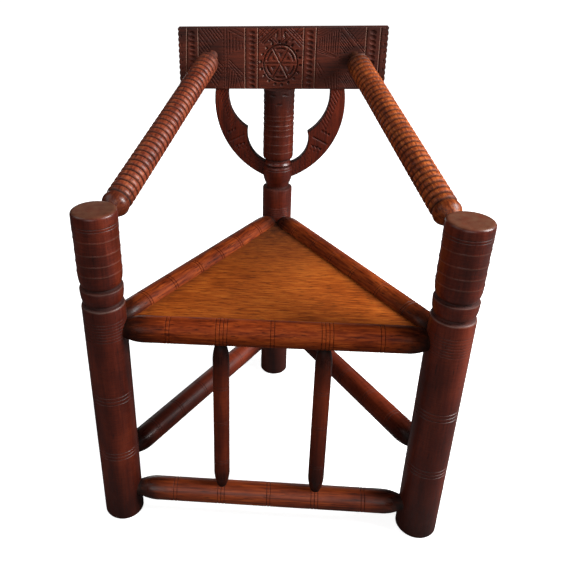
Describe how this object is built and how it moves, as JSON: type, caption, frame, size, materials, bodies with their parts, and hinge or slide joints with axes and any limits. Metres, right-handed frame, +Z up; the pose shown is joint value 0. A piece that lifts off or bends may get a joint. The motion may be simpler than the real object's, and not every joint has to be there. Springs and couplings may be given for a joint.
{
  "type": "corner chair",
  "caption": "Turned wooden corner chair with a triangular seat between round rails, sloping beaded arms and a flat back board carried on a post and curved braces.",
  "frame": {"origin": "on the floor, under the middle of the chair's outer box", "axes": "+Z up; +Y from the front of the seat to the back board; +X to the right as seen from the front"},
  "size_m": [0.618, 0.5174, 0.7998],
  "materials": {
    "post_oak": "gloss",
    "rail_oak": "gloss",
    "arm_oak": "gloss",
    "seat_oak": "satin",
    "board_oak": "satin",
    "peg_oak": "satin"
  },
  "bodies": {
    "root": {"front_left_post": "post_oak", "front_right_post": "post_oak", "rear_post": "post_oak", "front_seat_rail": "rail_oak", "left_seat_rail": "rail_oak", "right_seat_rail": "rail_oak", "front_seat_board": "seat_oak", "rear_seat_board": "seat_oak", "front_stretcher": "rail_oak", "left_stretcher": "rail_oak", "right_stretcher": "rail_oak", "left_spindle": "rail_oak", "right_spindle": "rail_oak", "left_arm": "arm_oak", "right_arm": "arm_oak", "back_board": "board_oak", "left_brace": "board_oak", "right_brace": "board_oak", "board_pegs": "peg_oak", "brace_pegs": "peg_oak"}
  },
  "joints": []
}
